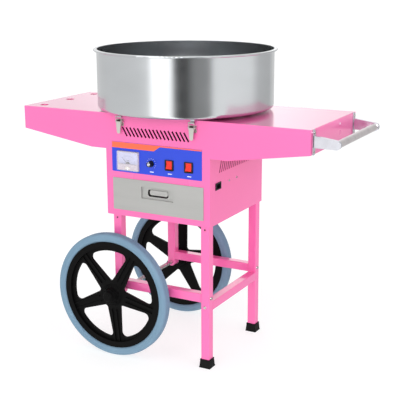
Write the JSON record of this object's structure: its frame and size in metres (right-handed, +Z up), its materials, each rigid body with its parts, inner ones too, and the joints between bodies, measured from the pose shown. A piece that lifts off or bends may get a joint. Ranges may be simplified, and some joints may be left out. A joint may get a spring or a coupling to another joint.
{
  "type": "cotton candy machine cart",
  "caption": "Cotton candy cart: steel bowl with spinning head on a box housing with control panel and drawer, side shelves, push handle, legs and two spoked wheels.",
  "frame": {"origin": "on the floor, under the middle of the overall length and width; the bowl's axis is 37.5 mm to the left of it", "axes": "+X towards the push handle, +Y away from the operator, +Z up"},
  "size_m": [0.975, 0.5199, 0.8794],
  "materials": {
    "pink_paint": "gloss powder coat",
    "panel_blue": "printed film, satin gloss",
    "meter_plastic": "moulded ivory plastic",
    "dial_card": "printed card",
    "clear_cover": "clear moulded cover",
    "black_plastic": "moulded, satin",
    "red_rocker": "gloss, slightly translucent",
    "circuit_board": "varnished board",
    "brushed_tube": "brushed round the tube",
    "chrome_plate": "satin chrome",
    "black_rubber": "matt",
    "screw_steel": "bright zinc",
    "tyre_rubber": "matt blue-grey rubber",
    "wheel_plastic": "moulded, satin",
    "drawer_steel": "satin stainless",
    "zinc_steel": "zinc plated",
    "latch_steel": "satin steel",
    "bowl_steel": "bright rolled stainless",
    "motor_paint": "semi-gloss enamel",
    "copper_iron": "laminations and windings",
    "brass": "turned",
    "brush_block": "phenolic",
    "spinner_alloy": "spun, satin"
  },
  "bodies": {
    "cart": {"housing_shell": "pink_paint", "top_deck": "pink_paint", "base_plate": "pink_paint", "back_panel": "pink_paint", "control_panel": "panel_blue", "meter_case": "meter_plastic", "meter_dial": "dial_card", "meter_window": "clear_cover", "switch_housings": "black_plastic", "control_board": "circuit_board", "power_inlet": "black_plastic", "left_shelf": "pink_paint", "left_shelf_top": "pink_paint", "right_shelf": "pink_paint", "handle_tube": "brushed_tube", "handle_brackets": "chrome_plate", "leg_front_left": "pink_paint", "leg_front_right": "pink_paint", "leg_back_left": "pink_paint", "leg_back_right": "pink_paint", "long_rails": "pink_paint", "side_rail": "pink_paint", "foot_caps": "black_rubber", "screws": "screw_steel", "axle": "screw_steel", "axle_nuts": "screw_steel", "drawer_runners": "zinc_steel", "latch_plates": "latch_steel", "bowl_seat": "black_rubber", "motor_bracket": "zinc_steel", "motor_mounts": "black_rubber", "motor_case": "motor_paint", "brush_holder": "brush_block"},
    "bowl_body": {"bowl": "bowl_steel"},
    "spinner": {"motor_rotor": "copper_iron", "motor_shaft": "screw_steel", "slip_rings": "brass", "spinner_base": "spinner_alloy", "spinner_head": "spinner_alloy", "spinner_lid": "spinner_alloy"},
    "drawer": {"drawer_tray": "drawer_steel", "drawer_front": "drawer_steel"},
    "knob_body": {"knob": "black_plastic"},
    "heat_rocker": {"rocker_heat": "red_rocker"},
    "motor_rocker": {"rocker_motor": "red_rocker"},
    "needle": {"meter_needle": "black_plastic"},
    "front_wheel": {"tyre_front": "tyre_rubber", "rim_front": "wheel_plastic", "hub_cap_front": "wheel_plastic"},
    "back_wheel": {"tyre_back": "tyre_rubber", "rim_back": "wheel_plastic", "hub_cap_back": "wheel_plastic"},
    "lever_fl": {"latch_lever_fl": "latch_steel"},
    "bail_fl": {"latch_bail_fl": "latch_steel"},
    "lever_fr": {"latch_lever_fr": "latch_steel"},
    "bail_fr": {"latch_bail_fr": "latch_steel"},
    "lever_bl": {"latch_lever_bl": "latch_steel"},
    "bail_bl": {"latch_bail_bl": "latch_steel"},
    "lever_br": {"latch_lever_br": "latch_steel"},
    "bail_br": {"latch_bail_br": "latch_steel"}
  },
  "joints": [
    {"name": "bowl_lift", "type": "slide", "parent": "cart", "child": "bowl_body", "axis": [0, 0, 1], "range_m": [0, 0.2]},
    {"name": "spinner_spin", "type": "hinge", "parent": "cart", "child": "spinner", "pos_m": [-0.0375, 0, 0.768], "axis": [0, 0, 1], "continuous": true},
    {"name": "drawer_slide", "type": "slide", "parent": "cart", "child": "drawer", "axis": [0, -1, 0], "range_m": [0, 0.22]},
    {"name": "heat_knob", "type": "hinge", "parent": "cart", "child": "knob_body", "pos_m": [-0.0541, -0.1687, 0.575], "axis": [0, 1, 0], "range_deg": [0, 270]},
    {"name": "heat_switch", "type": "hinge", "parent": "cart", "child": "heat_rocker", "pos_m": [0.0033, -0.1631, 0.576], "axis": [1, 0, 0], "range_deg": [0, 16]},
    {"name": "motor_switch", "type": "hinge", "parent": "cart", "child": "motor_rocker", "pos_m": [0.0638, -0.1631, 0.576], "axis": [1, 0, 0], "range_deg": [0, 16]},
    {"name": "meter_pointer", "type": "hinge", "parent": "cart", "child": "needle", "pos_m": [-0.128, -0.1687, 0.566], "axis": [0, 1, 0], "range_deg": [0, 90]},
    {"name": "front_wheel_roll", "type": "hinge", "parent": "cart", "child": "front_wheel", "pos_m": [-0.1728, -0.1965, 0.183], "axis": [0, 1, 0], "continuous": true},
    {"name": "back_wheel_roll", "type": "hinge", "parent": "cart", "child": "back_wheel", "pos_m": [-0.1728, 0.1965, 0.183], "axis": [0, 1, 0], "continuous": true},
    {"name": "lever_open_fl", "type": "hinge", "parent": "cart", "child": "lever_fl", "pos_m": [-0.1525, -0.1737, 0.687], "axis": [-1, 0, 0], "range_deg": [0, 105]},
    {"name": "bail_swing_fl", "type": "hinge", "parent": "lever_fl", "child": "bail_fl", "pos_m": [-0.1525, -0.1769, 0.6825], "axis": [-1, 0, 0], "range_deg": [-116, 0]},
    {"name": "lever_open_fr", "type": "hinge", "parent": "cart", "child": "lever_fr", "pos_m": [0.0775, -0.1737, 0.687], "axis": [-1, 0, 0], "range_deg": [0, 105]},
    {"name": "bail_swing_fr", "type": "hinge", "parent": "lever_fr", "child": "bail_fr", "pos_m": [0.0775, -0.1769, 0.6825], "axis": [-1, 0, 0], "range_deg": [-116, 0]},
    {"name": "lever_open_bl", "type": "hinge", "parent": "cart", "child": "lever_bl", "pos_m": [-0.1525, 0.1737, 0.687], "axis": [1, 0, 0], "range_deg": [0, 105]},
    {"name": "bail_swing_bl", "type": "hinge", "parent": "lever_bl", "child": "bail_bl", "pos_m": [-0.1525, 0.1769, 0.6825], "axis": [1, 0, 0], "range_deg": [-116, 0]},
    {"name": "lever_open_br", "type": "hinge", "parent": "cart", "child": "lever_br", "pos_m": [0.0775, 0.1737, 0.687], "axis": [1, 0, 0], "range_deg": [0, 105]},
    {"name": "bail_swing_br", "type": "hinge", "parent": "lever_br", "child": "bail_br", "pos_m": [0.0775, 0.1769, 0.6825], "axis": [1, 0, 0], "range_deg": [-116, 0]}
  ],
  "couplings": [
    {"joint": "bail_swing_fl", "follows": "lever_open_fl", "ratio": -1.1},
    {"joint": "bail_swing_fr", "follows": "lever_open_fr", "ratio": -1.1},
    {"joint": "bail_swing_bl", "follows": "lever_open_bl", "ratio": -1.1},
    {"joint": "bail_swing_br", "follows": "lever_open_br", "ratio": -1.1}
  ]
}
